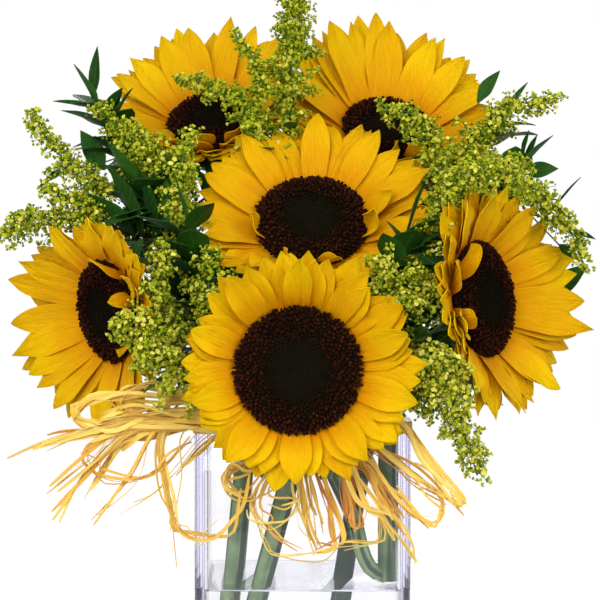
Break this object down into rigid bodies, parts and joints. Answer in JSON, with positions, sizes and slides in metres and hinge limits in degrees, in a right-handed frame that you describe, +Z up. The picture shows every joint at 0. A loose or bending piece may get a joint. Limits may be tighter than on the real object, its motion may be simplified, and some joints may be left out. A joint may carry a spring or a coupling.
{
  "type": "sunflowers in a glass vase",
  "caption": "Sunflower bouquet with goldenrod and dark foliage, standing in water in a square clear glass vase tied with a raffia bow.",
  "frame": {"origin": "centre of the vase's flat underside", "axes": "+Z up out of the vase; -Y towards the front flower and the bow; +X to the viewer's right"},
  "size_m": [0.361, 0.2576, 0.4651],
  "materials": {
    "glass": "clear, polished, faintly lavender",
    "water": "clear water",
    "petals": "soft satin golden yellow, orange towards the base",
    "disc": "matt near-black florets with a reddish-brown rim",
    "stem": "matt green, finely haired",
    "goldenrod": "matt yellow-green florets",
    "foliage": "slightly glossy dark green",
    "raffia": "dry straw fibre"
  },
  "bodies": {
    "root": {"disc_front": "disc", "disc_left": "disc", "disc_middle": "disc", "disc_right": "disc", "disc_upper_left": "disc", "disc_upper_right": "disc", "foliage_back_left": "foliage", "foliage_back_right": "foliage", "foliage_left": "foliage", "foliage_low_right": "foliage", "foliage_near_left": "foliage", "foliage_near_right": "foliage", "foliage_right": "foliage", "foliage_upper_left": "foliage", "foliage_upper_right": "foliage", "goldenrod_back_left": "goldenrod", "goldenrod_back_right": "goldenrod", "goldenrod_big_left": "goldenrod", "goldenrod_far_left": "goldenrod", "goldenrod_far_right": "goldenrod", "goldenrod_inner_left": "goldenrod", "goldenrod_inner_right": "goldenrod", "goldenrod_low_left": "goldenrod", "goldenrod_low_right": "goldenrod", "goldenrod_near_left": "goldenrod", "goldenrod_near_right": "goldenrod", "goldenrod_outer_left": "goldenrod", "goldenrod_over_right": "goldenrod", "goldenrod_top": "goldenrod", "goldenrod_top_left": "goldenrod", "goldenrod_tuft_left": "goldenrod", "goldenrod_upper_right": "goldenrod", "petals_front": "petals", "petals_left": "petals", "petals_middle": "petals", "petals_right": "petals", "petals_upper_left": "petals", "petals_upper_right": "petals", "raffia_band": "raffia", "raffia_bow": "raffia", "stem_front": "stem", "stem_left": "stem", "stem_middle": "stem", "stem_right": "stem", "stem_upper_left": "stem", "stem_upper_right": "stem", "vase": "glass", "water": "water"}
  },
  "joints": []
}
